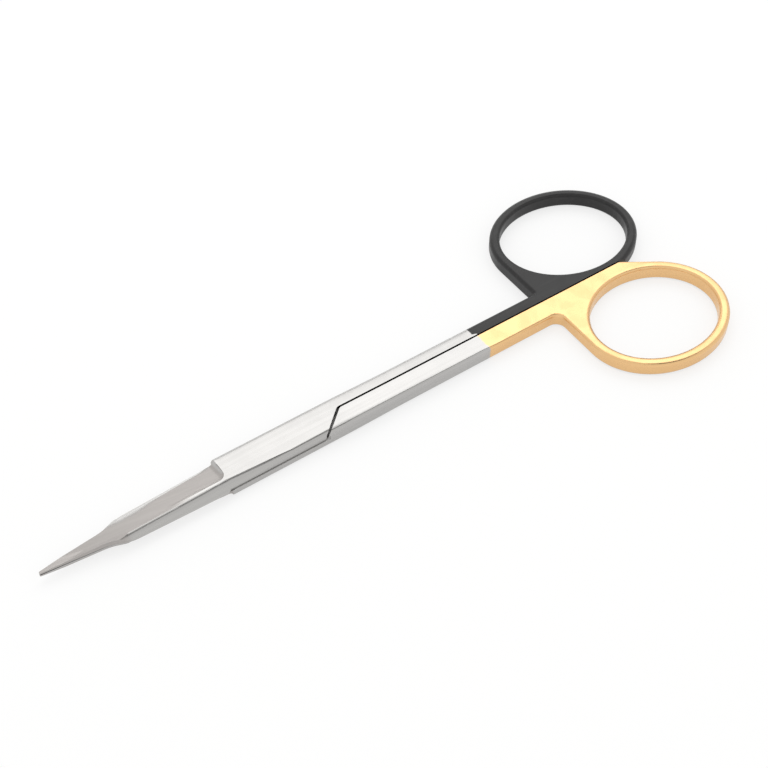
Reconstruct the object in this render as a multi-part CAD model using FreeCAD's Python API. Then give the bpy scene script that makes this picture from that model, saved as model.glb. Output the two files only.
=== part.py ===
import FreeCAD, Part

import math
import os

Vector = FreeCAD.Vector

# Fine straight surgical scissors, lying closed and flat. All sizes are in millimetres.
# Lengths run from the tip towards the finger rings. While a half is being made, x is the
# distance from the tip, y = 0 is the middle line and z = 0 is the plane where the halves slide.
# Each half is made with its finger ring on the +y side and its blade above z = 0.

# Blade
point_length = 10.3
point_step_length = 2.7
blade_length = 29.4
tip_half_width = 0.16
point_back = 1.25
blade_front_back = 2.5
blade_root_back = 2.95
blade_root_run_in = 0.8
blade_front_edge = 2.33
black_blade_edge = 2.8
gold_blade_edge = 2.75
point_edge = 1.2
point_step_round = 5.5
tip_round = 0.13

# Ground outer face of the blade
ridge_offset = 1.28
ridge_height_root = 1.05
ridge_height_front = 0.92
edge_thickness_front = 0.3
step_corner_round = 1.4
step_cove = 0.9
step_slope_run = 0.3
land_height_front = 1.02
tip_height = 0.36

# Narrow steeper facet ground along the cutting edge
facet_foot_front = 0.1
facet_foot_root = 0.26
facet_slope = 0.45
facet_reach = 1.5
facet_run_out = 1.5
facet_end_gap = 1.0
facet_end_height = 0.4

# Sloping flank on the back of the blade
flank_top_root = 1.72
flank_top_front = 1.62
flank_top_round = 0.7
flank_foot_root = 2.95
flank_foot_front = 2.62
flank_run_out = 17.5

# Hollow grind on the inner face
hollow_depth = 0.06
hollow_span = 2.2
hollow_end_gap = 2.5

# Lap joint
joint_thickness = 2.75
joint_back = 2.62
black_joint_side = 3.12
gold_joint_side = 2.8
shoulder_round = 0.8
plate_corner_round = 1.2
pivot_from_step = 9.0
shoulder_from_step = 20.35
shoulder_slant = 41.0
lap_clearance = 0.04
shank_gap = 0.3
shoulder_gap = 0.4

# Shanks
gap_offset = 0.75
black_outer = 3.02
gold_outer = 2.72
shank_thickness = 2.6
shank_end_thickness = 2.5
thick_run_out = 9.0
shank_length = 39.7
black_crotch_past_ring = -0.15
gold_crotch_past_ring = 0.3
black_crotch_round = 0.3
gold_crotch_round = 1.5
edge_round = 0.45
outer_edge_round = 0.65
blend_round = 30.0
side_blend_round = 5.0

# Finger rings, ovals whose long axis leans towards the middle line at the far end
ring_thickness = 2.45
ring_bar_width = 1.7
ring_hole_length = 22.3
ring_hole_width = 18.5
ring_lean = 5.0
ring_run_in = 18.0
ring_run_in_length = 9.0
ring_from_middle = 0.3
rings_part_after_centre = 2.0

# Pivot screw, its slotted head on the underside and its thread in the black half
screw_head_radius = 1.9
screw_head_height = 0.65
screw_shank_radius = 1.1
screw_thread_radius = 1.0
screw_slot_width = 0.45
screw_slot_depth = 0.35
screw_running_clearance = 0.03
screw_head_sink = 0.05
screw_skin = 0.4
screw_edge_chamfer = 0.12

# Carbide inserts brazed along the cutting edges
insert_thickness = 0.3
insert_width = 1.2
insert_front_gap = 1.0
insert_root_gap = 3.0

# Places worked out from the sizes above
half_joint = joint_thickness / 2
half_shank = shank_thickness / 2
half_shank_end = shank_end_thickness / 2
half_ring = ring_thickness / 2
half_lap = lap_clearance / 2
pivot_x = blade_length + pivot_from_step
shoulder_x = blade_length + shoulder_from_step
hole_half_length = ring_hole_length / 2
hole_half_width = ring_hole_width / 2
ring_half_length = hole_half_length + ring_bar_width
ring_half_width = hole_half_width + ring_bar_width
ring_front_x = shoulder_x + shank_length
ring_x = ring_front_x + ring_half_length
lean = math.radians(ring_lean)
ring_reach = math.hypot(ring_half_length * math.cos(lean), ring_half_width * math.sin(lean))
ring_spread = math.hypot(ring_half_length * math.sin(lean), ring_half_width * math.cos(lean))
ring_centre_offset = ring_spread + ring_from_middle
overall_length = ring_x + ring_reach
blade_front_x = point_length + point_step_length
block_x = blade_length - step_slope_run
wide_joint = max(black_joint_side, gold_joint_side, joint_back)

# How far cutting shapes reach past what they cut, and what counts as touching or level
beyond = 5.0
clear = 1.0
near = 0.01
past_foot = 0.3
upright = 0.1
same_point = 0.000001
wide = ring_centre_offset + ring_half_length + beyond
reach = wide_joint + beyond


def corner_arc(before, corner, after, radius):
    """The tangent arc that rounds one corner, as its start, middle and end."""
    back = (before - corner).normalize()
    ahead = (after - corner).normalize()
    half_angle = back.getAngle(ahead) / 2
    inset = radius / math.tan(half_angle)
    to_centre = (back + ahead).normalize()
    centre = corner + to_centre * (radius / math.sin(half_angle))
    return corner + back * inset, centre - to_centre * radius, corner + ahead * inset


def outline(corners):
    """A closed wire through corners given as (point, radius), each corner rounded if it has a radius."""
    count = len(corners)
    stops = []
    for i, (corner, radius) in enumerate(corners):
        if radius:
            stops.append(corner_arc(corners[i - 1][0], corner, corners[(i + 1) % count][0], radius))
        else:
            stops.append((corner, None, corner))
    edges = []
    for i, (start, middle, end) in enumerate(stops):
        if middle is not None:
            edges.append(Part.Arc(start, middle, end).toShape())
        following = stops[(i + 1) % count][0]
        if end.distanceToPoint(following) > same_point:
            edges.append(Part.makeLine(end, following))
    return Part.Wire(edges)


def plan(corners):
    """A face in the plane z = 0 from (x, y) or (x, y, radius) corners."""
    placed = [(Vector(c[0], c[1], 0), c[2] if len(c) > 2 else 0) for c in corners]
    return Part.Face(outline(placed))


def prism(face, low, high):
    """A plan face made into a solid between two heights."""
    lowered = face.copy()
    lowered.translate(Vector(0, 0, low))
    return lowered.extrude(Vector(0, 0, high - low))


def side_prism(corners):
    """A solid with the given (x, z) or (x, z, radius) outline, wider than the scissors."""
    placed = [(Vector(c[0], -wide, c[1]), c[2] if len(c) > 2 else 0) for c in corners]
    return Part.Face(outline(placed)).extrude(Vector(0, 2 * wide, 0))


def cross_loft(sections):
    """A solid that runs straight between sections, each an x and (y, z) or (y, z, radius) corners."""
    wires = []
    for x, corners in sections:
        placed = [(Vector(x, c[0], c[1]), c[2] if len(c) > 2 else 0) for c in corners]
        wires.append(outline(placed))
    return Part.makeLoft(wires, True, True)


def ring_oval(half_length, half_width):
    """An oval face round the finger ring's centre, leaning towards the middle line."""
    ellipse = Part.Ellipse(Vector(0, 0, 0), half_length, half_width)
    face = Part.Face(Part.Wire(ellipse.toShape()))
    face.rotate(Vector(0, 0, 0), Vector(0, 0, 1), -ring_lean)
    face.translate(Vector(ring_x, ring_centre_offset, 0))
    return face


def ring_tangent(x, y, turn):
    """Where a straight line from (x, y) touches the outside of the finger ring."""
    dx = x - ring_x
    dy = y - ring_centre_offset
    u = (dx * math.cos(lean) - dy * math.sin(lean)) / ring_half_length
    v = (dx * math.sin(lean) + dy * math.cos(lean)) / ring_half_width
    t = math.atan2(v, u) + turn * math.acos(1 / math.hypot(u, v))
    p = ring_half_length * math.cos(t)
    q = ring_half_width * math.sin(t)
    touch_x = ring_x + p * math.cos(lean) + q * math.sin(lean)
    touch_y = ring_centre_offset - p * math.sin(lean) + q * math.cos(lean)
    return touch_x, touch_y


def rim_edges(solid):
    """The edges where the walls behind the step meet the upper and lower faces."""
    found = []
    for edge in solid.Edges:
        if edge.BoundBox.XMax < block_x + near:
            continue
        middle = edge.valueAt((edge.FirstParameter + edge.LastParameter) / 2)
        walls = 0
        faces = solid.ancestorsOfType(edge, Part.Face)
        for face in faces:
            u, v = face.Surface.parameter(middle)
            if abs(face.normalAt(u, v).z) < upright:
                walls += 1
        if len(faces) == 2 and walls == 1:
            found.append(edge)
    return found


def in_hole(edge):
    """Whether an edge lies on the wall of the finger hole."""
    middle = edge.valueAt((edge.FirstParameter + edge.LastParameter) / 2)
    dx = middle.x - ring_x
    dy = middle.y - ring_centre_offset
    u = (dx * math.cos(lean) - dy * math.sin(lean)) / hole_half_length
    v = (dx * math.sin(lean) + dy * math.cos(lean)) / hole_half_width
    return math.hypot(u, v) < 1 + near


def handle_blank(sizes):
    """Joint block, shank and finger ring, rounded all over, before the joint is cut."""
    crotch_x = ring_front_x + sizes["crotch_past_ring"]
    left = ring_tangent(crotch_x, sizes["outer"], -1)
    part_x = ring_x + rings_part_after_centre
    spare = sizes["inner"] - outer_edge_round - shank_gap
    right = ring_tangent(part_x, spare, 1)
    past_shoulder = shoulder_x + reach
    shank = plan([
        (block_x, -joint_back),
        (past_shoulder, -joint_back),
        (past_shoulder, spare),
        (part_x, spare),
        right,
        (ring_x, ring_centre_offset),
        left,
        (crotch_x, sizes["outer"], sizes["crotch_round"]),
        (shoulder_x + thick_run_out, sizes["outer"], side_blend_round),
        (shoulder_x, sizes["joint_side"], side_blend_round),
        (block_x, sizes["joint_side"]),
    ])
    body = shank.fuse(ring_oval(ring_half_length, ring_half_width)).removeSplitter()
    body = Part.Face(body.Faces[0].OuterWire)
    body = body.cut(ring_oval(hole_half_length, hole_half_width))
    solid = prism(body.Faces[0], -half_joint - clear, half_joint + clear)
    end = overall_length + beyond
    run_in_x = ring_x - ring_run_in
    level_x = run_in_x + ring_run_in_length
    sides = side_prism([
        (-beyond, half_joint),
        (shoulder_x, half_joint, blend_round),
        (shoulder_x + thick_run_out, half_shank, blend_round),
        (run_in_x, half_shank_end, blend_round),
        (level_x, half_ring, blend_round),
        (end, half_ring),
        (end, -half_ring),
        (level_x, -half_ring, blend_round),
        (run_in_x, -half_shank_end, blend_round),
        (shoulder_x + thick_run_out, -half_shank, blend_round),
        (shoulder_x, -half_joint, blend_round),
        (-beyond, -half_joint),
    ])
    solid = solid.common(sides)
    outer_rim = [e for e in rim_edges(solid) if e.CenterOfMass.z > 0 and not in_hole(e)]
    solid = solid.makeFillet(outer_edge_round, outer_rim)
    other_rims = [e for e in rim_edges(solid) if e.CenterOfMass.z < 0 or in_hole(e)]
    return solid.makeFillet(edge_round, other_rims)


def blade_blank(sizes):
    """The blade's outline, before it is ground."""
    face = plan([
        (0, -tip_half_width, tip_round),
        (point_length, -point_back, point_step_round),
        (blade_front_x, -blade_front_back, point_step_round),
        (block_x - blade_root_run_in, -blade_root_back),
        (block_x, -joint_back),
        (block_x, sizes["blade_edge"]),
        (blade_front_x, blade_front_edge, point_step_round),
        (point_length, point_edge, point_step_round),
        (0, tip_half_width, tip_round),
    ])
    return prism(face, 0, half_joint)


def pocket_section(height):
    """The outline of what is ground off in front of the step, whose wall leans back as it rises."""
    step_x = blade_length - step_slope_run * (half_joint - height) / half_joint
    corners = [
        (-beyond, -ridge_offset),
        (step_x, -ridge_offset, step_corner_round),
        (step_x, reach),
        (-beyond, reach),
    ]
    placed = [(Vector(c[0], c[1], height), c[2] if len(c) > 2 else 0) for c in corners]
    return outline(placed)


def face_grind():
    """What the wheel takes off the outer face of the blade, up to the step in front of the joint."""
    slope_x = (ridge_height_root - ridge_height_front) / (blade_length - blade_front_x)
    slope_y = (edge_thickness_front - ridge_height_front) / (ridge_offset + blade_front_edge)
    big = 2 * overall_length
    above = Part.makeBox(big, big, big, Vector(-big / 2, -big / 2, 0))
    above.Placement = FreeCAD.Placement(
        Vector(blade_front_x, -ridge_offset, ridge_height_front),
        FreeCAD.Rotation(Vector(0, 0, 1), Vector(-slope_x, -slope_y, 1)),
    )
    pocket = Part.makeLoft([pocket_section(-half_joint), pocket_section(half_joint + clear)], True, True)
    tool = pocket.common(above)
    cove = []
    for edge in tool.Edges:
        middle = edge.CenterOfMass
        at_foot = edge.BoundBox.ZMax < half_joint and middle.x > 0
        if at_foot and middle.y < reach - near:
            cove.append(edge)
    return tool.makeFillet(step_cove, cove)


def edge_grind(sizes):
    """The narrow, steeper facet along the cutting edge, fading out at both of its ends."""
    sections = []
    end_x = blade_length - facet_end_gap
    full_x = end_x - facet_run_out
    spread = (sizes["blade_edge"] - blade_front_edge) / (blade_length - blade_front_x)
    for x, foot in [
        (point_length, land_height_front),
        (blade_front_x, facet_foot_front),
        (full_x, facet_foot_root),
        (end_x, facet_end_height),
    ]:
        edge_y = blade_front_edge + spread * (x - blade_front_x)
        low = foot - facet_slope * clear
        high = foot + facet_slope * facet_reach
        sections.append((x, [(edge_y + clear, low), (edge_y - facet_reach, high), (edge_y + clear, high)]))
    return cross_loft(sections)


def flank_grind():
    """What comes off above the narrow land and off the sloping flank beside it.

    The land falls from the joint towards the point. The flank fades out along the joint, and the
    corner between the two is rounded.
    """
    top_step = (flank_top_root - flank_top_front) / (blade_length - blade_front_x)
    tip_top = flank_top_front - top_step * blade_front_x
    sections = []
    for x, land_z, top_y, foot_y, foot_z in [
        (-near, land_height_front, tip_top, flank_foot_front, 0),
        (blade_front_x, land_height_front, flank_top_front, flank_foot_front, 0),
        (blade_length, half_joint + near, flank_top_root, flank_foot_root, 0),
        (blade_length + flank_run_out, half_joint + near, joint_back, joint_back + edge_round,
         half_joint - edge_round),
    ]:
        rise = (half_joint - foot_z) / (foot_y - top_y)
        corner_y = top_y + (half_joint - land_z) / rise
        low = foot_z - rise * past_foot
        high = half_joint + clear
        sections.append((x, [
            (wide_joint, land_z),
            (-corner_y, land_z, flank_top_round),
            (-foot_y - past_foot, low),
            (-foot_y - past_foot, high),
            (wide_joint, high),
        ]))
    return cross_loft(sections)


def point_grind():
    """What comes off the outer face of the point, which slopes down to the tip."""
    slope = (land_height_front - tip_height) / blade_front_x
    return side_prism([
        (-beyond, tip_height - slope * beyond),
        (blade_front_x, land_height_front),
        (blade_front_x, reach),
        (-beyond, reach),
    ])


def hollow_grind():
    """The shallow hollow along the inner face of the blade, so that the edges meet first."""
    radius = (hollow_span ** 2 + hollow_depth ** 2) / (2 * hollow_depth)
    length = blade_length - hollow_end_gap + beyond
    centre = Vector(-beyond, 0, half_lap + hollow_depth - radius)
    return Part.makeCylinder(radius, length, centre, Vector(1, 0, 0))


def other_half_room(inner):
    """The space that the other half needs, in two parts: beside this shank and under this blade."""
    far = overall_length + beyond
    slant = math.radians(shoulder_slant)
    corner_y = -joint_back - near
    corner_x = shoulder_x - (inner - corner_y) / math.tan(slant)
    round_end_x = corner_x - plate_corner_round * math.tan(slant / 2)
    beside = plan([
        (shoulder_x, inner, shoulder_round),
        (far, inner),
        (far, -wide),
        (round_end_x, -wide),
        (round_end_x, corner_y),
        (corner_x, corner_y, plate_corner_round),
    ])
    slide = shoulder_gap / math.sin(slant) - shank_gap / math.tan(slant)
    start = shoulder_x + slide
    under = plan([
        (-beyond, -wide),
        (far, -wide),
        (far, inner),
        (start, inner, shoulder_round),
        (start - (reach - inner) / math.tan(slant), reach),
        (-beyond, reach),
    ])
    return prism(beside, -beyond, beyond).fuse(prism(under, -beyond, half_lap))


def forged_half(sizes):
    """One half of the scissors as a single forging, ring on the +y side and blade above z = 0."""
    half = handle_blank(sizes).fuse(blade_blank(sizes))
    room = other_half_room(sizes["inner"])
    for tool in (flank_grind(), face_grind(), edge_grind(sizes), point_grind(), room, hollow_grind()):
        half = half.cut(tool)
    return half.removeSplitter()


def insert_room(sizes):
    """The strip along the cutting edge that the carbide insert takes up."""
    root_x = blade_length - insert_root_gap
    strip = plan([
        (insert_front_gap, 0),
        (blade_front_x, blade_front_edge - insert_width),
        (root_x, sizes["blade_edge"] - insert_width),
        (root_x, reach),
        (insert_front_gap, reach),
    ])
    return prism(strip, -beyond, half_lap + insert_thickness)


def round_bar(radius, low, high):
    """A round bar or hole on the pivot axis, between two heights."""
    return Part.makeCylinder(radius, high - low, Vector(pivot_x, 0, low))


def pivot_screw():
    """The screw, with its head sunk in the underside and its thread ending inside the black half."""
    head_low = screw_head_sink - half_joint
    head_high = head_low + screw_head_height
    head = round_bar(screw_head_radius, head_low, head_high)
    rim = [e for e in head.Edges if e.Closed and e.BoundBox.ZMax < head_low + near]
    head = head.makeChamfer(screw_edge_chamfer, rim)
    shank = round_bar(screw_shank_radius, head_high, half_lap)
    thread = round_bar(screw_thread_radius, half_lap, half_joint - screw_skin)
    slot_length = 2 * screw_head_radius + clear
    slot = Part.makeBox(
        slot_length,
        screw_slot_width,
        screw_slot_depth + clear,
        Vector(pivot_x - slot_length / 2, -screw_slot_width / 2, head_low - clear),
    )
    return head.fuse(shank).fuse(thread).cut(slot).removeSplitter()


def screw_room():
    """The bore and the recess for the head, in the half that turns on the screw."""
    recess_top = screw_head_sink - half_joint + screw_head_height + screw_running_clearance
    recess = round_bar(screw_head_radius + screw_running_clearance, -half_joint - clear, recess_top)
    return recess.fuse(round_bar(screw_shank_radius + screw_running_clearance, recess_top, beyond))


def write(name, shape):
    """Puts a finished piece in its resting place, standing on z = 0 round the middle, and saves it."""
    placed = shape.copy()
    placed.translate(Vector(-overall_length / 2, 0, half_joint))
    placed.exportStep("parts/" + name + ".step")


def main():
    os.makedirs("parts", exist_ok=True)
    turned_over = (Vector(0, 0, 0), Vector(1, 0, 0), 180)

    black_sizes = {
        "inner": gap_offset + shank_gap / 2,
        "outer": black_outer,
        "joint_side": black_joint_side,
        "blade_edge": black_blade_edge,
        "crotch_past_ring": black_crotch_past_ring,
        "crotch_round": black_crotch_round,
    }
    black = forged_half(black_sizes)
    black = black.cut(round_bar(screw_thread_radius, -beyond, half_joint - screw_skin))
    black_insert = insert_room(black_sizes)
    write("black_ring_half", black.cut(black_insert))
    write("black_edge_insert", black.common(black_insert))

    gold_sizes = {
        "inner": shank_gap / 2 - gap_offset,
        "outer": gold_outer,
        "joint_side": gold_joint_side,
        "blade_edge": gold_blade_edge,
        "crotch_past_ring": gold_crotch_past_ring,
        "crotch_round": gold_crotch_round,
    }
    gold = forged_half(gold_sizes)
    gold_insert = insert_room(gold_sizes)
    gold_edge = gold.common(gold_insert)
    gold_edge.rotate(*turned_over)
    gold = gold.cut(gold_insert)
    gold.rotate(*turned_over)
    write("gold_ring_half", gold.cut(screw_room()))
    write("gold_edge_insert", gold_edge)

    write("pivot_screw", pivot_screw())


main()
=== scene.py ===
"""Surgical scissors with a black and a gold finger ring: finishes, light and camera."""

import math
from collections import namedtuple

import bpy
from bpy.props import FloatProperty, FloatVectorProperty, PointerProperty
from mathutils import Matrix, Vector


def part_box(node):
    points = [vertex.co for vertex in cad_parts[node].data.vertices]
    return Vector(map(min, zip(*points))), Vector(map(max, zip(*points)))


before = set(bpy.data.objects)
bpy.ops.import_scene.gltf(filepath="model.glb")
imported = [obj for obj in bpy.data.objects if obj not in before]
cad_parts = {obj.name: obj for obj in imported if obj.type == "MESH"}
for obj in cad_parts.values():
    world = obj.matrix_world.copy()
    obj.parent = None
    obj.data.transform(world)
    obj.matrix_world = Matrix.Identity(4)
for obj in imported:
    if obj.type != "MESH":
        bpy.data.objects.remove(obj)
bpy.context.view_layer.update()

bl_info = {
    "name": "Surgical scissors finishes",
    "version": (1, 0, 0),
    "blender": (4, 5, 0),
    "location": "View3D > Sidebar > Scissors",
    "description": "Steel, black coat, gold plate and carbide on the scissors, with their studio",
    "category": "Material",
}

MILLIMETRE = 0.001

# Places along the scissors, in millimetres in the frame of the solids
STEP_X = -28.2
SHOULDER_X = -7.8
POINT_X = -45.5
COAT_X = 17.0

# Middle of the gap between the two shanks
GAP_Y = 0.75

# Zones along the scissors: each mask starts at the first place and is full at the second
POINT_ZONE_X = (POINT_X + 1.5, POINT_X)
BLADE_ZONE_X = (STEP_X + 0.1, STEP_X - 0.2)
LAND_ZONE_X = (STEP_X, STEP_X - 3.0)
WORN_LAND_X = (-32.0, -38.5)
PLATE_ZONE_X = (SHOULDER_X + 1.5, SHOULDER_X - 1.5)
CROWN_START_X = (STEP_X, STEP_X + 0.5)
NEAR_CROWN_START_X = (STEP_X + 3.0, SHOULDER_X - 2.0)
CREST_START_X = (SHOULDER_X - 1.0, SHOULDER_X + 2.0)
CROWN_END_X = (COAT_X + 3.0, COAT_X)

# Faces told apart by their lean, which is how far their normal points to their own side
NOT_INWARD_LEAN = (-0.1, -0.02)
LAND_LEAN = (-0.1, -0.03)
FLAT_LEAN = (0.12, 0.03)
GROUND_LEAN = (0.08, 0.14)
BELOW_FACET_LEAN = (0.25, 0.2)
FACET_LEAN = (0.3, 0.36)
NOT_WALL_LEAN = (0.6, 0.5)

# Faces told apart by how far their normal points up
LEVEL_FACE = (0.1, 0.7)
OUTER_FACE = (0.0, 0.1)
NOT_INNER_FACE = (-0.9, -0.7)
WALL_FACE = (0.6, 0.4)

# Crown of the flats towards their long sides: where it starts and ends, and its lean
FAR_CROWN_Y = (1.5, 2.9)
FAR_CROWN_LEAN = 0.16
NEAR_CROWN_Y = (-1.4, -2.6)
NEAR_CROWN_LEAN = -0.3
PAST_MIDDLE_Y = (-0.2, 0.2)

# Rounded crest along the near side of the shanks: faces that turn down there, and its lean
CREST_FACING = (-0.1, -0.3)
CREST_LEAN = -0.35

# Cutting edge seen from above: a corner and a slope for the point, the ogee and the blade
POINT_CORNER = (-47.27, 1.2)
POINT_SLOPE = 0.101
OGEE_SLOPE = 0.42
BLADE_CORNER = (-44.57, 2.33)
BLADE_SLOPE = 0.0287
CORNER_SOFTNESS = 0.4

# How far the honed and the ground faces lean outward
HONED_TILT = 0.436
GROUND_TILT = 0.165

# Honed strip: where it starts, narrows and ends, its two widths, and its soft inner side
STRIP_START_X = (-47.5, -44.0)
STRIP_NARROWING_X = (-42.0, -36.0)
STRIP_END_X = (STEP_X - 0.5, STEP_X - 2.0)
STRIP_WIDE = 1.3
STRIP_NARROW = 0.5
STRIP_SIDE = (-0.1, 0.6)

# Stretch along the cutting edge that counts as near it: its end, and where it is full
NEAR_EDGE = (1.3, 1.0)

# Middle line of a ring's bar: an oval, given by its centre, half axes and lean in degrees
RING_CENTRE = (44.72, 11.24)
RING_HALF_AXES = (12.0, 10.1)
RING_LEAN = 5.0

# Section of the bar: half its width, half its flat middle, and how far its sides lean
BAR_HALF = 0.85
BAR_FLAT_HALF = 0.05
PAST_BAR = (BAR_HALF + 0.2, BAR_HALF)
INNER_SIDE_LEAN = -0.5
OUTER_SIDE_LEAN = 0.3

# Zone of the bar as shares of the oval, fading in from inside and out to the outside
BAR_INSIDE = (0.85, 0.87)
BAR_OUTSIDE = (1.15, 1.12)

# The outer side is rounded only behind the web and away from the middle
OUTER_SIDE_X = (RING_CENTRE[0] - 5.0, RING_CENTRE[0] + 3.0)
OUTER_SIDE_Y = (1.0, 3.0)

# Lines of the belt, the wheel and the hone: angle, and length and width in millimetres
BELT_LINES = {"Angle": 0.0, "Length": 9.0, "Width": 0.16}
WHEEL_LINES = {"Angle": 0.18, "Length": 5.0, "Width": 0.12}
HONE_LINES = {"Angle": 1.45, "Length": 2.0, "Width": 0.06}

# Relief of the lines in millimetres
BUMP_STRENGTH = 0.5
LINE_DEPTH = 0.003
SCREW_LINE_DEPTH = 0.004
SCREW_LINES_PER_MILLIMETRE = 14.0

# Sizes of the handling marks, in millimetres
HALF_MARK_SIZE = 3.2
SCREW_MARK_SIZE = 1.4
INSERT_MARK_SIZE = 0.8

# Sharp corners, which get a painted highlight and, along the gap, painted shade: widths in
# millimetres, and how well the rounded normal agrees with the face's
STEEL_CORNER_WIDTH = 0.12
COAT_CORNER_WIDTH = 0.15
CORNER_AGREEMENT = (0.995, 0.8)

# Noise values between which marks, streaks and uneven lines go from weak to strong
MIDDLE_NOISE = (0.3, 0.7)
PATCH_NOISE = (0.35, 0.7)
SPECK_NOISE = (0.62, 0.8)
COAT_STREAK_NOISE = (0.5, 0.75)

# Painted shade in slits and corners: how near a wall has to be, and the zones between the halves
# and by their gap
SHADE_REACH = 0.5
SHADE_OPENNESS = (0.5, 0.3)
SHADE_BETWEEN_EXTRA = 0.3
BETWEEN_HALVES_Y = (2.5, 2.2)
BETWEEN_HALVES_X = (STEP_X + 1.0, STEP_X + 2.0)
BY_GAP_Y = (2.0, 1.6)
BY_GAP_START_X = (SHOULDER_X - 3.5, SHOULDER_X - 3.0)
BY_GAP_END_X = (COAT_X + 1.0, COAT_X)

# Starting lines of the coats: unevenness and softness, and the black one's bend by the gap
COAT_LINE_UNEVENNESS = 0.06
BLACK_LINE_SOFTNESS = 0.09
GOLD_LINE_SOFTNESS = 0.16
BLACK_LINE_BEND = 0.7
BLACK_LINE_BEND_Y = (GAP_Y + 0.6, GAP_Y + 0.25)

# Colours of the painted shade, of the painted highlight on corners (with some wear on the coat),
# of patches, streaks and specks
PAINTED_SHADE_COLOUR = (0.012, 0.011, 0.010)
STEEL_CORNER_HIGHLIGHT_COLOUR = (0.7, 0.69, 0.68)
COAT_CORNER_HIGHLIGHT_AND_WEAR_COLOUR = (0.08, 0.078, 0.076)
COAT_PATCH_COLOUR = (0.022, 0.0208, 0.021)
COAT_SPECK_COLOUR = (0.05, 0.05, 0.05)
COAT_STREAK_COLOUR = (0.04, 0.0385, 0.038)
GOLD_PATCH_COLOUR = (0.80, 0.49, 0.22)
SCREW_PATCH_COLOUR = (0.5, 0.49, 0.48)
CARBIDE_PATCH_COLOUR = (0.30, 0.295, 0.29)

# How strongly the black coat mirrors, where 0.5 is usual
BLACK_COAT_SPECULAR = 0.4

# Shares of the colours above where they are strongest
STEEL_CORNER_HIGHLIGHT_SHARE = 0.3
COAT_CORNER_HIGHLIGHT_AND_WEAR_SHARE = 0.25
COAT_PATCH_SHARE = 0.5
COAT_SPECK_SHARE = 0.15
COAT_STREAK_SHARE = 0.35
GOLD_PATCH_SHARE = 0.15
SCREW_PATCH_SHARE = 0.4

# Brightness of the steel's streaks, darkest and brightest
STREAK_SHADES = (0.96, 1.02)

# What patches add to a roughness, from least to most, and what rubbed corners take away
STEEL_PATCH_ROUGHNESS = (-0.01, 0.02)
BLACK_PATCH_ROUGHNESS = (-0.03, 0.05)
GOLD_PATCH_ROUGHNESS = (-0.04, 0.05)
RUBBED_SMOOTHNESS = 0.08

# Roughness of the screw and of the carbide, smoothest and roughest
SCREW_ROUGHNESS = (0.22, 0.3)
CARBIDE_ROUGHNESS = (0.34, 0.46)

# Outer sides of the inserts, told by how far they face sideways
INSERT_OUTSIDE = (0.25, 0.35)

# Lamps, in metres: place, width and depth
KEY_PLACE = (0.25, 0.305, 0.504)
KEY_SIZE = (0.5, 0.36)
BACK_PLACE = (0.316, 0.677, 0.065)
BACK_SIZE = (0.8, 0.09)

# The room: its light, and a dark patch above with its direction and the fade at its rim
ROOM_COLOUR = (1.0, 1.0, 0.99)
ROOM_LEVEL = 0.96
DARK_PATCH_LEVEL = 0.2
DARK_PATCH_DIRECTION = (0.27, -0.25, 0.93)
DARK_PATCH_RIM = (0.927, 0.99)

# The floor: its depth below the part in millimetres, and how much of it glows of itself
FLOOR_DEPTH = 0.02
FLOOR_GLOW_SEEN = 0.72
FLOOR_GLOW_IN_GLOSS = 0.6

# Camera: the point that it looks at in millimetres, the way back from there, and its film
CAMERA_AIM = (1.30, 1.64, 1.375)
CAMERA_BACK = (-0.3916, -0.5527, 0.7356)
SENSOR_WIDTH = 36.0
NEAREST_SEEN = 0.005

# What a half's bare steel gives to its material
BareSteel = namedtuple("BareSteel", "colour roughness normal marks streaks soil")


# Sizes and colours that a user would change

def colour_property(name, description, default):
    return FloatVectorProperty(name=name, description=description, default=default,
                               subtype="COLOR", size=3, min=0.0, max=1.0)


def length_property(name, description, default):
    return FloatProperty(name=name, description=description, default=default,
                         subtype="DISTANCE", unit="LENGTH", precision=5)


def share_property(name, description, default):
    return FloatProperty(name=name, description=description, default=default,
                         subtype="FACTOR", min=0.0, max=1.0)


class ScissorsSteel(bpy.types.PropertyGroup):
    """Bare steel of both halves"""

    colour: colour_property(
        "Steel", "Colour of the polished steel", (0.475, 0.467, 0.458))
    ground_colour: colour_property(
        "Ground steel", "Colour of the ground blade faces", (0.425, 0.402, 0.388))
    gold_shank_roughness: share_property(
        "Gold half's roughness", "Roughness of the polished shank of the gold half", 0.22)
    black_shank_roughness: share_property(
        "Black half's roughness", "Roughness of the satin shank of the black half", 0.29)
    plate_roughness: share_property(
        "Plate roughness", "Roughness of the satin joint plates", 0.27)
    blade_roughness: share_property(
        "Blade roughness", "Roughness of the ground blade faces", 0.34)
    facet_roughness: share_property(
        "Facet roughness", "Roughness of the honed facet along the cutting edge", 0.25)
    land_roughness: share_property(
        "Land roughness", "Roughness of the narrow polished land", 0.18)


class ScissorsCoats(bpy.types.PropertyGroup):
    """Coats of the two finger rings"""

    black_colour: colour_property(
        "Black coat", "Colour of the black coat", (0.012, 0.0115, 0.0118))
    black_start: length_property(
        "Black coat start", "Where the black coat starts along the scissors", 0.0179)
    black_roughness: share_property(
        "Black roughness", "Roughness of the black coat", 0.38)
    gold_colour: colour_property(
        "Gold plate", "Colour of the gold plate", (0.82, 0.53, 0.26))
    gold_start: length_property(
        "Gold plate start", "Where the gold plate starts along the scissors", 0.0184)
    gold_roughness: share_property(
        "Gold roughness", "Roughness of the gold plate", 0.27)


class ScissorsSmallParts(bpy.types.PropertyGroup):
    """Pivot screw and edge inserts"""

    screw_colour: colour_property(
        "Screw steel", "Colour of the turned screw", (0.60, 0.585, 0.57))
    carbide_colour: colour_property(
        "Carbide", "Colour of the carbide inserts", (0.36, 0.35, 0.345))


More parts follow.
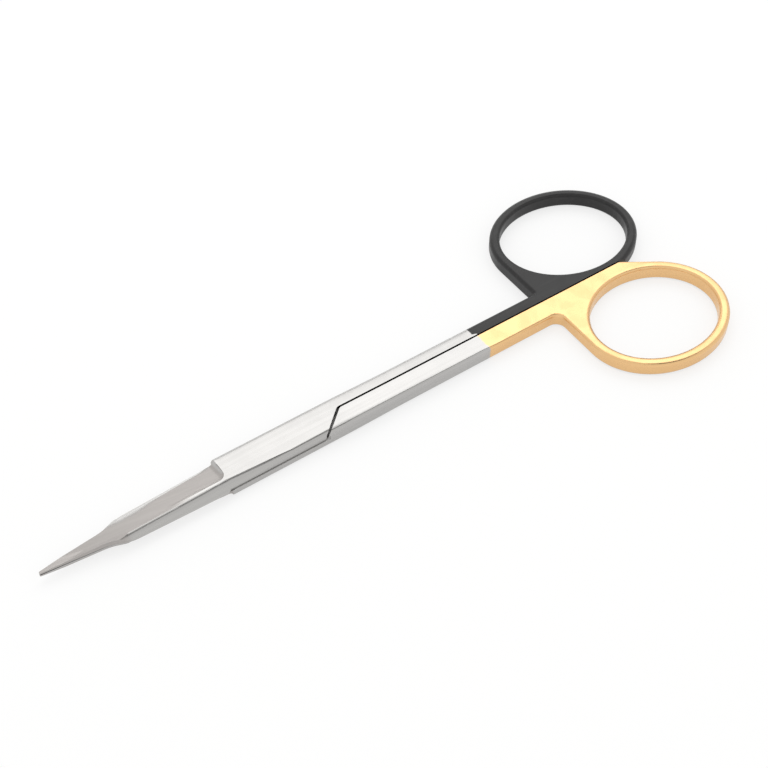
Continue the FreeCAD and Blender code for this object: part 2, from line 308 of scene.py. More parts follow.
class ScissorsStage(bpy.types.PropertyGroup):
    """Floor, lamps and camera"""

    floor_colour: colour_property(
        "Floor", "Colour of the floor and the backdrop", (1.0, 1.0, 1.0))
    floor_reach: length_property(
        "Floor reach", "Half the width of the floor", 1.5)
    key_strength: FloatProperty(
        name="Key strength", description="Brightness of the large softbox, 1 is white",
        default=1.1, min=0.0)
    back_strength: FloatProperty(
        name="Back strength", description="Brightness of the low strip behind, 1 is white",
        default=1.1, min=0.0)
    camera_distance: length_property(
        "Camera distance", "From the camera to the point that it looks at", 0.2325)
    camera_lens: FloatProperty(
        name="Camera lens", description="Focal length of the camera",
        default=71.53, min=1.0, unit="CAMERA")


# Short ways to add and join the nodes of one tree

class Wiring:
    """Adds nodes to one tree and joins them."""

    # Places of the two sockets that a Mix node mixes
    MIXED_NUMBERS = (2, 3)
    MIXED_COLOURS = (6, 7)

    def __init__(self, tree):
        self.tree = tree

    def add(self, kind, inputs=None, **settings):
        made = self.tree.nodes.new(kind)
        for name, value in settings.items():
            setattr(made, name, value)
        for name, value in (inputs or {}).items():
            self.feed(made.inputs[name], value)
        return made

    def feed(self, socket, value):
        if isinstance(value, bpy.types.NodeSocket):
            self.tree.links.new(value, socket)
        elif socket.type == "RGBA":
            socket.default_value = (*value[:3], 1.0)
        else:
            socket.default_value = value

    def math(self, operation, first, second=0.0):
        return self.add("ShaderNodeMath", {0: first, 1: second}, operation=operation).outputs[0]

    def product(self, first, *others):
        """Multiplies two or more numbers."""
        result = first
        for other in others:
            result = self.math("MULTIPLY", result, other)
        return result

    def fade(self, value, start, end, low=0.0, high=1.0):
        """Goes smoothly from low at start to high at end."""
        made = self.add("ShaderNodeMapRange",
                        {"Value": value, "From Min": start, "From Max": end,
                         "To Min": low, "To Max": high},
                        interpolation_type="SMOOTHSTEP")
        return made.outputs["Result"]

    def blend(self, share, first, second):
        low, high = self.MIXED_NUMBERS
        made = self.add("ShaderNodeMix", {0: share, low: first, high: second},
                        data_type="FLOAT")
        return made.outputs[0]

    def blend_colour(self, share, first, second, kind="MIX"):
        low, high = self.MIXED_COLOURS
        made = self.add("ShaderNodeMix", {0: share, low: first, high: second},
                        data_type="RGBA", blend_type=kind)
        return made.outputs[2]

    def vector_math(self, operation, first, second=None):
        """A length and a dot product come out as a number."""
        inputs = {0: first} if second is None else {0: first, 1: second}
        made = self.add("ShaderNodeVectorMath", inputs, operation=operation)
        return made.outputs["Value" if operation in ("LENGTH", "DOT_PRODUCT") else "Vector"]

    def scaled(self, vector, scale):
        made = self.add("ShaderNodeVectorMath", {0: vector, "Scale": scale}, operation="SCALE")
        return made.outputs["Vector"]

    def turned(self, vector, angle):
        """Turns a vector about z."""
        made = self.add("ShaderNodeVectorRotate", {"Vector": vector, "Angle": angle},
                        rotation_type="Z_AXIS")
        return made.outputs[0]

    def parts(self, vector):
        """X, Y and Z of a vector."""
        return self.add("ShaderNodeSeparateXYZ", {0: vector}).outputs

    def combined(self, **parts):
        """Vector from its parts X, Y and Z."""
        return self.add("ShaderNodeCombineXYZ", parts).outputs[0]

    def noise(self, vector, scale, detail, roughness=0.5, distortion=0.0):
        made = self.add("ShaderNodeTexNoise",
                        {"Vector": vector, "Scale": scale, "Detail": detail,
                         "Roughness": roughness, "Distortion": distortion})
        return made.outputs[0]

    def bump(self, height, depth, normal=None):
        """Normal of a surface with a relief of some depth in millimetres."""
        inputs = {"Height": height, "Strength": BUMP_STRENGTH, "Distance": depth * MILLIMETRE}
        if normal is not None:
            inputs["Normal"] = normal
        return self.add("ShaderNodeBump", inputs).outputs[0]

    def group(self, tree, inputs):
        return self.add("ShaderNodeGroup", inputs, node_tree=tree).outputs

    def mix_shaders(self, share, first, second):
        made = self.add("ShaderNodeMixShader",
                        {0: share, 1: first.outputs[0], 2: second.outputs[0]})
        return made.outputs[0]


def new_group(name, inputs, outputs):
    """Starts a node group; inputs and outputs are pairs of name and kind of socket."""
    tree = bpy.data.node_groups.new(name, "ShaderNodeTree")
    for label, kind in inputs:
        tree.interface.new_socket(label, in_out="INPUT", socket_type=kind)
    for label, kind in outputs:
        tree.interface.new_socket(label, in_out="OUTPUT", socket_type=kind)
    wiring = Wiring(tree)
    given = wiring.add("NodeGroupInput").outputs
    result = wiring.add("NodeGroupOutput").inputs
    return tree, wiring, given, result


def grinding_lines():
    """Fine lines left by a wheel or belt: turned by an angle, long one way, narrow across."""
    name = "grinding lines"
    if name in bpy.data.node_groups:
        return bpy.data.node_groups[name]
    tree, wiring, given, result = new_group(
        name,
        [("Position", "NodeSocketVector"), ("Angle", "NodeSocketFloat"),
         ("Length", "NodeSocketFloat"), ("Width", "NodeSocketFloat")],
        [("Height", "NodeSocketFloat"), ("Streaks", "NodeSocketFloat")])
    along = wiring.math("DIVIDE", 1.0, given["Length"])
    across = wiring.math("DIVIDE", 1.0, given["Width"])
    stretched = wiring.vector_math(
        "MULTIPLY", wiring.turned(given["Position"], given["Angle"]),
        wiring.combined(X=along, Y=across, Z=across))
    wiring.feed(result["Height"], wiring.noise(stretched, scale=1.0, detail=3.0, roughness=0.6))
    wiring.feed(result["Streaks"], wiring.noise(stretched, scale=0.28, detail=2.0))
    return tree


def handling_marks():
    """Soft uneven patches where the surface was wiped and held, and small specks."""
    name = "handling marks"
    if name in bpy.data.node_groups:
        return bpy.data.node_groups[name]
    tree, wiring, given, result = new_group(
        name,
        [("Position", "NodeSocketVector"), ("Size", "NodeSocketFloat")],
        [("Patches", "NodeSocketFloat"), ("Specks", "NodeSocketFloat")])
    patches = wiring.noise(given["Position"], scale=wiring.math("DIVIDE", 1.0, given["Size"]),
                           detail=4.0, roughness=0.55, distortion=0.4)
    specks = wiring.noise(given["Position"], scale=6.0, detail=2.0)
    wiring.feed(result["Patches"], wiring.fade(patches, *PATCH_NOISE))
    wiring.feed(result["Specks"], wiring.fade(specks, *SPECK_NOISE))
    return tree


def corner_mask():
    """Mask of the sharp corners, which get a painted highlight, less roughness and, along the gap,
    painted shade.
    """
    name = "rubbed edges"
    if name in bpy.data.node_groups:
        return bpy.data.node_groups[name]
    tree, wiring, given, result = new_group(
        name,
        [("Width", "NodeSocketFloat")],
        [("Mask", "NodeSocketFloat")])
    rounded = wiring.add("ShaderNodeBevel", {"Radius": given["Width"]}, samples=6).outputs[0]
    flat = wiring.add("ShaderNodeNewGeometry").outputs["Normal"]
    agreement = wiring.vector_math("DOT_PRODUCT", rounded, flat)
    wiring.feed(result["Mask"], wiring.fade(agreement, *CORNER_AGREEMENT))
    return tree


def painted_crevice_shade():
    """Mask of painted shade, dark in slits and inner corners where little light reaches.

    Between is 1 on the walls that the two halves turn to each other.
    """
    name = "deep soil"
    if name in bpy.data.node_groups:
        return bpy.data.node_groups[name]
    tree, wiring, given, result = new_group(
        name,
        [("Reach", "NodeSocketFloat"), ("Between", "NodeSocketFloat")],
        [("Mask", "NodeSocketFloat")])
    openness = wiring.add("ShaderNodeAmbientOcclusion", {"Distance": given["Reach"]}, samples=8)
    lowered = wiring.math("SUBTRACT", openness.outputs["AO"],
                          wiring.product(given["Between"], SHADE_BETWEEN_EXTRA))
    wiring.feed(result["Mask"], wiring.fade(lowered, *SHADE_OPENNESS))
    return tree


def empty_material(name):
    material = bpy.data.materials.new(name)
    material.use_nodes = True
    material.node_tree.nodes.clear()
    return material, Wiring(material.node_tree)


def new_material(name):
    material, wiring = empty_material(name)
    shader = wiring.add("ShaderNodeBsdfPrincipled")
    wiring.add("ShaderNodeOutputMaterial", {"Surface": shader.outputs[0]})
    return material, wiring, shader


def millimetre_position(wiring):
    """Object coordinates counted in millimetres."""
    place = wiring.add("ShaderNodeTexCoord").outputs["Object"]
    return wiring.scaled(place, 1.0 / MILLIMETRE)


def wear_finish(node_name, material):
    """Puts a material on every slot of one CAD node."""
    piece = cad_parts[node_name]
    for slot in piece.material_slots:
        slot.material = material


# Rounded and honed faces, made by leaning the normals

def edge_line(wiring, along):
    """How far the cutting edge lies from the middle line, at a place along the blade."""
    def line(corner, slope):
        run = wiring.math("SUBTRACT", along, corner[0])
        return wiring.math("ADD", wiring.product(run, slope), corner[1])

    point = line(POINT_CORNER, POINT_SLOPE)
    ogee = line(POINT_CORNER, OGEE_SLOPE)
    blade = line(BLADE_CORNER, BLADE_SLOPE)
    front = wiring.add("ShaderNodeMath", {0: point, 1: ogee, 2: CORNER_SOFTNESS},
                       operation="SMOOTH_MAX")
    whole = wiring.add("ShaderNodeMath", {0: front.outputs[0], 1: blade, 2: CORNER_SOFTNESS},
                       operation="SMOOTH_MIN")
    return whole.outputs[0]


def ring_rounding(wiring, parts, outward, side):
    """How far the normal of a ring's bar leans away from the bar's middle line."""
    offset = wiring.combined(X=wiring.math("SUBTRACT", parts["X"], RING_CENTRE[0]),
                             Y=wiring.math("SUBTRACT", outward, RING_CENTRE[1]))
    oval = wiring.vector_math("DIVIDE", wiring.turned(offset, math.radians(RING_LEAN)),
                              (*RING_HALF_AXES, 1.0))
    reach = wiring.vector_math("LENGTH", oval)
    beyond = wiring.product(wiring.math("SUBTRACT", reach, 1.0), sum(RING_HALF_AXES) / 2)
    inner = wiring.fade(beyond, -BAR_FLAT_HALF, -BAR_HALF, 0.0, INNER_SIDE_LEAN)
    outer = wiring.product(wiring.fade(beyond, BAR_FLAT_HALF, BAR_HALF, 0.0, OUTER_SIDE_LEAN),
                           wiring.fade(beyond, *PAST_BAR),
                           wiring.fade(parts["X"], *OUTER_SIDE_X),
                           wiring.fade(outward, *OUTER_SIDE_Y))
    amount = wiring.product(wiring.math("ADD", inner, outer),
                            wiring.fade(reach, *BAR_INSIDE), wiring.fade(reach, *BAR_OUTSIDE))
    away = wiring.turned(wiring.vector_math("NORMALIZE", oval), -math.radians(RING_LEAN))
    mirrored = wiring.vector_math("MULTIPLY", away, wiring.combined(X=1.0, Y=side, Z=0.0))
    return wiring.scaled(mirrored, amount)


def flat_crown(wiring, parts, outward, level, before_coat):
    """How far the flats of the plates and the shanks lean to y near their long sides."""
    far = wiring.fade(parts["Y"], *FAR_CROWN_Y, 0.0, FAR_CROWN_LEAN)
    near = wiring.fade(parts["Y"], *NEAR_CROWN_Y, 0.0, NEAR_CROWN_LEAN)
    behind_step = wiring.fade(parts["X"], *CROWN_START_X)
    towards_shank = wiring.fade(parts["X"], *NEAR_CROWN_START_X)
    past_middle = wiring.fade(outward, *PAST_MIDDLE_Y)
    return wiring.product(wiring.math("ADD", far, near), level, before_coat, behind_step,
                          wiring.math("MAXIMUM", towards_shank, past_middle))


def shank_crest(wiring, parts, facing, before_coat):
    """How far the rounded crest along the near side of the shanks leans to y."""
    return wiring.product(wiring.fade(facing["Y"], *CREST_FACING, 0.0, CREST_LEAN),
                          wiring.fade(parts["X"], *CREST_START_X), before_coat)


def honed_strip(wiring, parts, lean, from_edge, near_edge):
    """Mask of the honed strip along the cutting edge, and of the facet that ends in it."""
    width = wiring.product(wiring.fade(parts["X"], *STRIP_START_X),
                           wiring.fade(parts["X"], *STRIP_NARROWING_X, STRIP_WIDE, STRIP_NARROW))
    inside = wiring.math("SUBTRACT", width, from_edge)
    strip = wiring.product(wiring.fade(inside, *STRIP_SIDE),
                           wiring.fade(lean, *NOT_INWARD_LEAN),
                           wiring.fade(lean, *BELOW_FACET_LEAN))
    facet = wiring.product(wiring.fade(lean, *FACET_LEAN), wiring.fade(lean, *NOT_WALL_LEAN),
                           near_edge)
    return wiring.product(wiring.math("MAXIMUM", strip, facet),
                          wiring.fade(parts["X"], *STRIP_END_X))


def crowned_faces():
    """Normal of a half's faces as polishing and honing leave them, with their fine lines.

    Flats lean outward near their long sides, the bar of the ring is rounded, the land leans
    like the ground face towards the point, and a honed strip follows the cutting edge. Side is
    1 for the half whose outer blade face leans to +y, and -1 for the other half. Honed is the
    mask of the strip.
    """
    name = "crowned faces"
    if name in bpy.data.node_groups:
        return bpy.data.node_groups[name]
    tree, wiring, given, result = new_group(
        name,
        [("Position", "NodeSocketVector"), ("Normal", "NodeSocketVector"),
         ("Side", "NodeSocketFloat"), ("Height", "NodeSocketFloat")],
        [("Normal", "NodeSocketVector"), ("Honed", "NodeSocketFloat")])
    side = given["Side"]
    parts = wiring.parts(given["Position"])
    facing = wiring.parts(given["Normal"])
    outward = wiring.product(parts["Y"], side)
    lean = wiring.product(facing["Y"], side)
    upright = wiring.math("ABSOLUTE", facing["Z"])
    level = wiring.fade(upright, *LEVEL_FACE)
    before_coat = wiring.fade(parts["X"], *CROWN_END_X)
    outer_face = wiring.fade(wiring.product(facing["Z"], side), *OUTER_FACE)
    from_edge = wiring.math("SUBTRACT", edge_line(wiring, parts["X"]), outward)
    near_edge = wiring.fade(from_edge, *NEAR_EDGE)

    ground_lean = wiring.math("SUBTRACT", wiring.product(upright, GROUND_TILT), lean)
    land_lean = wiring.product(wiring.fade(parts["X"], *WORN_LAND_X),
                               wiring.fade(lean, *LAND_LEAN),
                               wiring.math("SUBTRACT", 1.0, near_edge), outer_face, ground_lean)
    honed = wiring.product(honed_strip(wiring, parts, lean, from_edge, near_edge), outer_face)
    honed_lean = wiring.product(
        honed, wiring.math("SUBTRACT", wiring.product(upright, HONED_TILT), lean))
    blade_lean = wiring.product(wiring.math("ADD", land_lean, honed_lean), side)
    handle_lean = wiring.math("ADD", flat_crown(wiring, parts, outward, level, before_coat),
                              shank_crest(wiring, parts, facing, before_coat))
    shift = wiring.combined(Y=wiring.math("ADD", handle_lean, blade_lean))
    rounding = wiring.scaled(ring_rounding(wiring, parts, outward, side), level)
    leaned = wiring.vector_math("ADD", wiring.vector_math("ADD", given["Normal"], shift), rounding)
    turned = wiring.add("ShaderNodeVectorTransform", {0: leaned}, vector_type="NORMAL",
                        convert_from="OBJECT", convert_to="WORLD").outputs[0]
    even = wiring.vector_math("NORMALIZE", turned)
    wiring.feed(result["Normal"], wiring.bump(given["Height"], LINE_DEPTH, even))
    wiring.feed(result["Honed"], honed)
    return tree


# Bare steel and the starting lines of the coats

def ground_zones(wiring, parts, facing, side):
    """Masks of a blade's ground faces and of the polished land beside them."""
    lean = wiring.product(facing["Y"], side)
    turned_out = wiring.product(facing["Z"], side)
    flat_outside = wiring.product(wiring.fade(wiring.math("ABSOLUTE", lean), *FLAT_LEAN),
                                  wiring.fade(turned_out, *OUTER_FACE))
    on_point = wiring.product(wiring.fade(parts["X"], *POINT_ZONE_X),
                              wiring.fade(turned_out, *NOT_INNER_FACE))
    worn_land = wiring.product(wiring.fade(parts["X"], *WORN_LAND_X), flat_outside)
    ground = wiring.math("MAXIMUM", wiring.fade(lean, *GROUND_LEAN), on_point)
    on_blade = wiring.product(wiring.fade(parts["X"], *BLADE_ZONE_X),
                              wiring.math("MAXIMUM", ground, worn_land))
    on_land = wiring.product(wiring.fade(parts["X"], *LAND_ZONE_X), flat_outside)
    return on_blade, on_land


def painted_shade_mask(wiring, parts, facing, edges):
    """Mask of the painted shade in corners, between the halves and along the edges of their gap.
    """
    from_middle = wiring.math("ABSOLUTE", parts["Y"])
    between = wiring.product(wiring.fade(from_middle, *BETWEEN_HALVES_Y),
                             wiring.fade(wiring.math("ABSOLUTE", facing["Z"]), *WALL_FACE),
                             wiring.fade(parts["X"], *BETWEEN_HALVES_X))
    soil = wiring.group(painted_crevice_shade(), {"Reach": SHADE_REACH * MILLIMETRE, "Between": between})
    # Painted shade along the gap: its sharp corners are darkened, so the gap reads wider
    by_gap = wiring.product(wiring.fade(from_middle, *BY_GAP_Y),
                            wiring.fade(parts["X"], *BY_GAP_START_X),
                            wiring.fade(parts["X"], *BY_GAP_END_X))
    return wiring.math("MAXIMUM", soil["Mask"], wiring.product(edges, by_gap))


def forged_steel(wiring, position, parts, side, shank_roughness):
    """Colour, roughness, normal, marks, streaks and painted shade of a half's bare steel, zone by
    zone.

    The outer blade face leans to +y on the black half, where side is 1, and to -y on the gold
    half, where side is -1.
    """
    steel = bpy.context.scene.scissors_steel
    normal = wiring.add("ShaderNodeTexCoord").outputs["Normal"]
    facing = wiring.parts(normal)
    on_blade, on_land = ground_zones(wiring, parts, facing, side)
    on_plate = wiring.fade(parts["X"], *PLATE_ZONE_X)
    belt = wiring.group(grinding_lines(), {"Position": position, **BELT_LINES})
    wheel = wiring.group(grinding_lines(), {"Position": position, **WHEEL_LINES})
    height = wiring.blend(on_blade, belt["Height"], wheel["Height"])
    streaks = wiring.blend(on_blade, belt["Streaks"], wheel["Streaks"])
    marks = wiring.group(handling_marks(), {"Position": position, "Size": HALF_MARK_SIZE})
    edges = wiring.group(corner_mask(), {"Width": STEEL_CORNER_WIDTH * MILLIMETRE})["Mask"]
    crowned = wiring.group(crowned_faces(), {"Position": position, "Normal": normal,
                                             "Side": side, "Height": height})

    colour = wiring.blend_colour(on_blade, steel.colour, steel.ground_colour)
    colour = wiring.blend_colour(crowned["Honed"], colour, steel.colour)
    shade = wiring.fade(streaks, *MIDDLE_NOISE, *STREAK_SHADES)
    shades = wiring.add("ShaderNodeCombineColor", {0: shade, 1: shade, 2: shade}).outputs[0]
    colour = wiring.blend_colour(1.0, colour, shades, "MULTIPLY")
    # Painted highlight: sharp corners are lightened towards a pale steel colour
    colour = wiring.blend_colour(wiring.product(edges, STEEL_CORNER_HIGHLIGHT_SHARE), colour,
                                 STEEL_CORNER_HIGHLIGHT_COLOUR)

    roughness = wiring.blend(on_plate, shank_roughness, steel.plate_roughness)
    roughness = wiring.blend(on_land, roughness, steel.land_roughness)
    roughness = wiring.blend(on_blade, roughness, steel.blade_roughness)
    roughness = wiring.blend(crowned["Honed"], roughness, steel.facet_roughness)
    roughness = wiring.math("ADD", roughness,
                            wiring.fade(marks["Patches"], 0.0, 1.0, *STEEL_PATCH_ROUGHNESS))
    roughness = wiring.math("SUBTRACT", roughness, wiring.product(edges, RUBBED_SMOOTHNESS))
    return BareSteel(colour, roughness, crowned["Normal"], marks, streaks,
                     painted_shade_mask(wiring, parts, facing, edges))


def coat_start(wiring, along, position, start, soft):
    """Mask of a coat that starts straight across, with a slightly uneven line."""
    uneven = wiring.fade(wiring.noise(position, scale=1.4, detail=1.0), *MIDDLE_NOISE,
                         -COAT_LINE_UNEVENNESS, COAT_LINE_UNEVENNESS)
    return wiring.fade(wiring.math("ADD", along, uneven), start - soft, start + soft)


# Pieces

class SCISSORS_OT_black_half(bpy.types.Operator):
    """Steel blade and shank with a satin black coat on the ring"""

    bl_idname = "scissors.black_half"
    bl_label = "Black ring half"

    def execute(self, context):
        coats = context.scene.scissors_coats
        material, wiring, shader = new_material("steel half with black ring")
        position = millimetre_position(wiring)
        parts = wiring.parts(position)
        steel = forged_steel(wiring, position, parts, 1.0,
                             context.scene.scissors_steel.black_shank_roughness)
        bend = wiring.fade(parts["Y"], *BLACK_LINE_BEND_Y, 0.0, BLACK_LINE_BEND)
        coated = coat_start(wiring, wiring.math("SUBTRACT", parts["X"], bend), position,
                            coats.black_start / MILLIMETRE, BLACK_LINE_SOFTNESS)
        coat, coat_roughness = self.black_coat(wiring, coats, steel)
        whole = wiring.blend_colour(coated, steel.colour, coat)
        # Painted shade: slits, corners and the edges of the gap are darkened towards near black
        wiring.feed(shader.inputs["Base Color"],
                    wiring.blend_colour(steel.soil, whole, PAINTED_SHADE_COLOUR))
        shader.inputs["Specular IOR Level"].default_value = BLACK_COAT_SPECULAR
        wiring.feed(shader.inputs["Metallic"], wiring.math("SUBTRACT", 1.0, coated))
        wiring.feed(shader.inputs["Roughness"],
                    wiring.blend(coated, steel.roughness, coat_roughness))
        wiring.feed(shader.inputs["Normal"], steel.normal)
        wear_finish("black_ring_half", material)
        return {"FINISHED"}

    def black_coat(self, wiring, coats, steel):
        """Colour and roughness of the black coat."""
        # Painted highlight with some wear: the coat's sharp corners are lightened
        edges = wiring.group(corner_mask(), {"Width": COAT_CORNER_WIDTH * MILLIMETRE})["Mask"]
        colour = coats.black_colour
        streaks = wiring.fade(steel.streaks, *COAT_STREAK_NOISE)
        for mask, share, other in (
                (steel.marks["Patches"], COAT_PATCH_SHARE, COAT_PATCH_COLOUR),
                (edges, COAT_CORNER_HIGHLIGHT_AND_WEAR_SHARE, COAT_CORNER_HIGHLIGHT_AND_WEAR_COLOUR),
                (steel.marks["Specks"], COAT_SPECK_SHARE, COAT_SPECK_COLOUR),
                (streaks, COAT_STREAK_SHARE, COAT_STREAK_COLOUR)):
            colour = wiring.blend_colour(wiring.product(mask, share), colour, other)
        least, most = BLACK_PATCH_ROUGHNESS
        roughness = wiring.fade(steel.marks["Patches"], 0.0, 1.0,
                                coats.black_roughness + least, coats.black_roughness + most)
        return colour, roughness


class SCISSORS_OT_gold_half(bpy.types.Operator):
    """Steel blade and shank with gold plate on the ring"""

    bl_idname = "scissors.gold_half"
    bl_label = "Gold ring half"

    def execute(self, context):
        coats = context.scene.scissors_coats
        material, wiring, shader = new_material("steel half with gold ring")
        position = millimetre_position(wiring)
        parts = wiring.parts(position)
        steel = forged_steel(wiring, position, parts, -1.0,
                             context.scene.scissors_steel.gold_shank_roughness)
        plated = coat_start(wiring, parts["X"], position, coats.gold_start / MILLIMETRE,
                            GOLD_LINE_SOFTNESS)
        patches = steel.marks["Patches"]
        plate = wiring.blend_colour(wiring.product(patches, GOLD_PATCH_SHARE),
                                    coats.gold_colour, GOLD_PATCH_COLOUR)
        least, most = GOLD_PATCH_ROUGHNESS
        plate_roughness = wiring.fade(patches, 0.0, 1.0,
                                      coats.gold_roughness + least, coats.gold_roughness + most)
        whole = wiring.blend_colour(plated, steel.colour, plate)
        # Painted shade: slits, corners and the edges of the gap are darkened towards near black
        wiring.feed(shader.inputs["Base Color"],
                    wiring.blend_colour(steel.soil, whole, PAINTED_SHADE_COLOUR))
        wiring.feed(shader.inputs["Roughness"],
                    wiring.blend(plated, steel.roughness, plate_roughness))
        shader.inputs["Metallic"].default_value = 1.0
        wiring.feed(shader.inputs["Normal"], steel.normal)
        wear_finish("gold_ring_half", material)
        return {"FINISHED"}


class SCISSORS_OT_pivot_screw(bpy.types.Operator):
    """Turned screw of the joint, with fine rings from the lathe"""

    bl_idname = "scissors.pivot_screw"
    bl_label = "Pivot screw"

    def execute(self, context):
        small = context.scene.scissors_small_parts
        material, wiring, shader = new_material("turned screw steel")
        position = millimetre_position(wiring)
        low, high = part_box("pivot_screw")
        centre = [(low[axis] + high[axis]) / 2 / MILLIMETRE for axis in range(3)]
        centred = wiring.vector_math("SUBTRACT", position, centre)
        radius = wiring.vector_math(
            "LENGTH", wiring.vector_math("MULTIPLY", centred, (1.0, 1.0, 0.0)))
        rings = wiring.combined(X=wiring.product(radius, SCREW_LINES_PER_MILLIMETRE))
        lathe_lines = wiring.noise(rings, scale=1.0, detail=2.0)
        patches = wiring.group(handling_marks(), {"Position": position,
                                                  "Size": SCREW_MARK_SIZE})["Patches"]
        wiring.feed(shader.inputs["Base Color"], wiring.blend_colour(
            wiring.product(patches, SCREW_PATCH_SHARE), small.screw_colour,
            SCREW_PATCH_COLOUR))
        wiring.feed(shader.inputs["Roughness"],
                    wiring.fade(patches, 0.0, 1.0, *SCREW_ROUGHNESS))
        shader.inputs["Metallic"].default_value = 1.0
        wiring.feed(shader.inputs["Normal"], wiring.bump(lathe_lines, SCREW_LINE_DEPTH))
        wear_finish("pivot_screw", material)
        return {"FINISHED"}


class SCISSORS_OT_edge_inserts(bpy.types.Operator):
    """Carbide strips along the inner faces of the blades, honed steel-bright on the outside"""

    bl_idname = "scissors.edge_inserts"
    bl_label = "Edge inserts"

    def execute(self, context):
        small = context.scene.scissors_small_parts
        steel = context.scene.scissors_steel
        material, wiring, shader = new_material("honed carbide")
        position = millimetre_position(wiring)
        facing = wiring.parts(wiring.add("ShaderNodeTexCoord").outputs["Normal"])
        outside = wiring.fade(wiring.math("ABSOLUTE", facing["Y"]), *INSERT_OUTSIDE)
        hone = wiring.group(grinding_lines(), {"Position": position, **HONE_LINES})
        marks = wiring.group(handling_marks(), {"Position": position, "Size": INSERT_MARK_SIZE})
        strip = wiring.blend_colour(marks["Patches"], small.carbide_colour, CARBIDE_PATCH_COLOUR)
        wiring.feed(shader.inputs["Base Color"],
                    wiring.blend_colour(outside, strip, steel.colour))
        strip_roughness = wiring.fade(hone["Streaks"], *MIDDLE_NOISE, *CARBIDE_ROUGHNESS)
        wiring.feed(shader.inputs["Roughness"],
                    wiring.blend(outside, strip_roughness, steel.facet_roughness))
        shader.inputs["Metallic"].default_value = 1.0
        wiring.feed(shader.inputs["Normal"], wiring.bump(hone["Height"], LINE_DEPTH))
        wear_finish("black_edge_insert", material)
        wear_finish("gold_edge_insert", material)
        return {"FINISHED"}


# Stage

def softbox(name, place, size, strength):
    """Flat lamp whose face is as bright as strength, turned to the scissors' middle."""
    width, depth = size
    lamp = bpy.data.lights.new(name, "AREA")
    lamp.shape = "RECTANGLE"
    lamp.size = width
    lamp.size_y = depth
    lamp.energy = strength * math.pi * width * depth
    holder = bpy.data.objects.new(name, lamp)
    holder.location = place
    holder.rotation_euler = (-Vector(place)).to_track_quat("-Z", "Y").to_euler()
    holder.visible_camera = False
    bpy.context.collection.objects.link(holder)


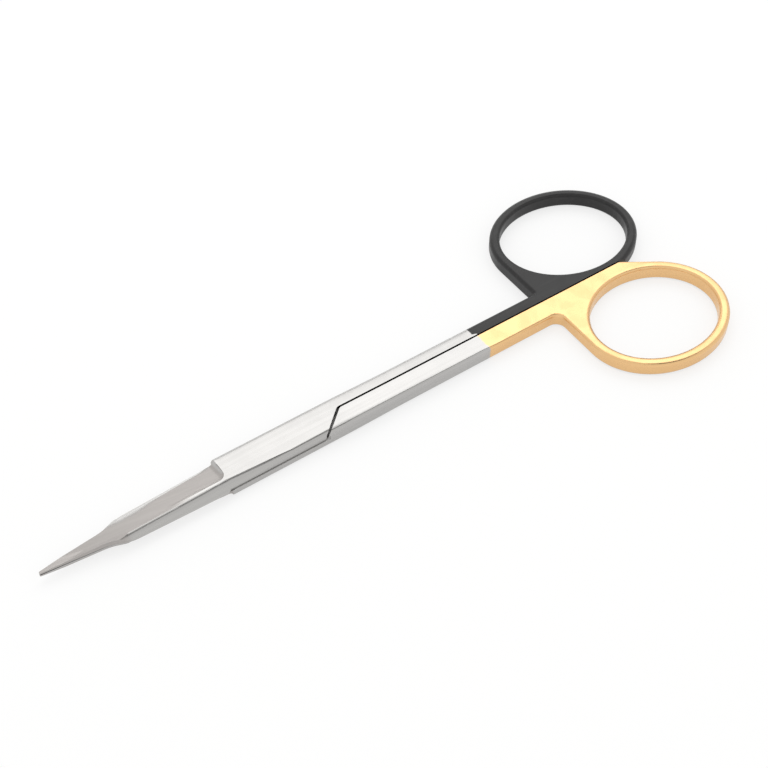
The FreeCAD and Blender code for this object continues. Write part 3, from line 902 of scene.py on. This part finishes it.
class SCISSORS_OT_stage(bpy.types.Operator):
    """White floor, soft studio light and the camera"""

    bl_idname = "scissors.stage"
    bl_label = "Stage"

    def execute(self, context):
        stage = context.scene.scissors_stage
        self.make_world(stage)
        self.make_floor(stage)
        softbox("key softbox", KEY_PLACE, KEY_SIZE, stage.key_strength)
        softbox("back strip", BACK_PLACE, BACK_SIZE, stage.back_strength)
        self.make_camera(stage)
        context.scene.view_settings.view_transform = "Standard"
        return {"FINISHED"}

    def make_world(self, stage):
        world = bpy.data.worlds.new("studio")
        world.use_nodes = True
        world.node_tree.nodes.clear()
        wiring = Wiring(world.node_tree)
        direction = wiring.add("ShaderNodeTexCoord").outputs["Generated"]
        towards_dark = wiring.vector_math("DOT_PRODUCT", direction, DARK_PATCH_DIRECTION)
        level = wiring.fade(towards_dark, *DARK_PATCH_RIM, ROOM_LEVEL, DARK_PATCH_LEVEL)
        path = wiring.add("ShaderNodeLightPath").outputs
        room = wiring.add("ShaderNodeBackground", {"Color": ROOM_COLOUR, "Strength": level})
        seen = wiring.add("ShaderNodeBackground", {"Color": stage.floor_colour, "Strength": 1.0})
        wiring.add("ShaderNodeOutputWorld",
                   {"Surface": wiring.mix_shaders(path["Is Camera Ray"], room, seen)})
        bpy.context.scene.world = world

    def make_floor(self, stage):
        reach = stage.floor_reach
        height = -FLOOR_DEPTH * MILLIMETRE
        mesh = bpy.data.meshes.new("floor")
        mesh.from_pydata([(-reach, -reach, height), (reach, -reach, height),
                          (reach, reach, height), (-reach, reach, height)], [], [(0, 1, 2, 3)])
        floor = bpy.data.objects.new("floor", mesh)
        bpy.context.collection.objects.link(floor)
        material, wiring = empty_material("white floor")
        path = wiring.add("ShaderNodeLightPath").outputs
        matt = wiring.add("ShaderNodeBsdfDiffuse", {"Color": stage.floor_colour})
        bright = wiring.add("ShaderNodeEmission", {"Color": stage.floor_colour, "Strength": 1.0})
        glow = wiring.math("ADD", wiring.product(path["Is Camera Ray"], FLOOR_GLOW_SEEN),
                           wiring.product(path["Is Glossy Ray"], FLOOR_GLOW_IN_GLOSS))
        wiring.add("ShaderNodeOutputMaterial",
                   {"Surface": wiring.mix_shaders(glow, matt, bright)})
        mesh.materials.append(material)

    def make_camera(self, stage):
        aim = Vector(CAMERA_AIM) * MILLIMETRE
        back = Vector(CAMERA_BACK).normalized()
        lens = bpy.data.cameras.new("camera")
        lens.lens = stage.camera_lens
        lens.sensor_width = SENSOR_WIDTH
        lens.clip_start = NEAREST_SEEN
        camera = bpy.data.objects.new("camera", lens)
        camera.location = aim + back * stage.camera_distance
        camera.rotation_euler = (-back).to_track_quat("-Z", "Y").to_euler()
        bpy.context.collection.objects.link(camera)
        bpy.context.scene.camera = camera


OPERATORS = (SCISSORS_OT_stage, SCISSORS_OT_black_half, SCISSORS_OT_gold_half,
             SCISSORS_OT_pivot_screw, SCISSORS_OT_edge_inserts)
GROUPS = (("scissors_steel", ScissorsSteel), ("scissors_coats", ScissorsCoats),
          ("scissors_small_parts", ScissorsSmallParts), ("scissors_stage", ScissorsStage))


class SCISSORS_PT_panel(bpy.types.Panel):
    """Lists the pieces, the stage and their settings"""

    bl_idname = "SCISSORS_PT_panel"
    bl_label = "Surgical scissors"
    bl_space_type = "VIEW_3D"
    bl_region_type = "UI"
    bl_category = "Scissors"

    def draw(self, context):
        for operator in OPERATORS:
            self.layout.operator(operator.bl_idname)
        for name, group in GROUPS:
            settings = getattr(context.scene, name)
            box = self.layout.box()
            for entry in group.__annotations__:
                box.prop(settings, entry)


def register():
    for name, group in GROUPS:
        bpy.utils.register_class(group)
        setattr(bpy.types.Scene, name, PointerProperty(type=group))
    for operator in OPERATORS:
        bpy.utils.register_class(operator)
    bpy.utils.register_class(SCISSORS_PT_panel)


def unregister():
    bpy.utils.unregister_class(SCISSORS_PT_panel)
    for operator in reversed(OPERATORS):
        bpy.utils.unregister_class(operator)
    for name, group in reversed(GROUPS):
        delattr(bpy.types.Scene, name)
        bpy.utils.unregister_class(group)


def main():
    register()
    bpy.ops.scissors.stage()
    bpy.ops.scissors.black_half()
    bpy.ops.scissors.gold_half()
    bpy.ops.scissors.pivot_screw()
    bpy.ops.scissors.edge_inserts()


if __name__ == "__main__":
    main()
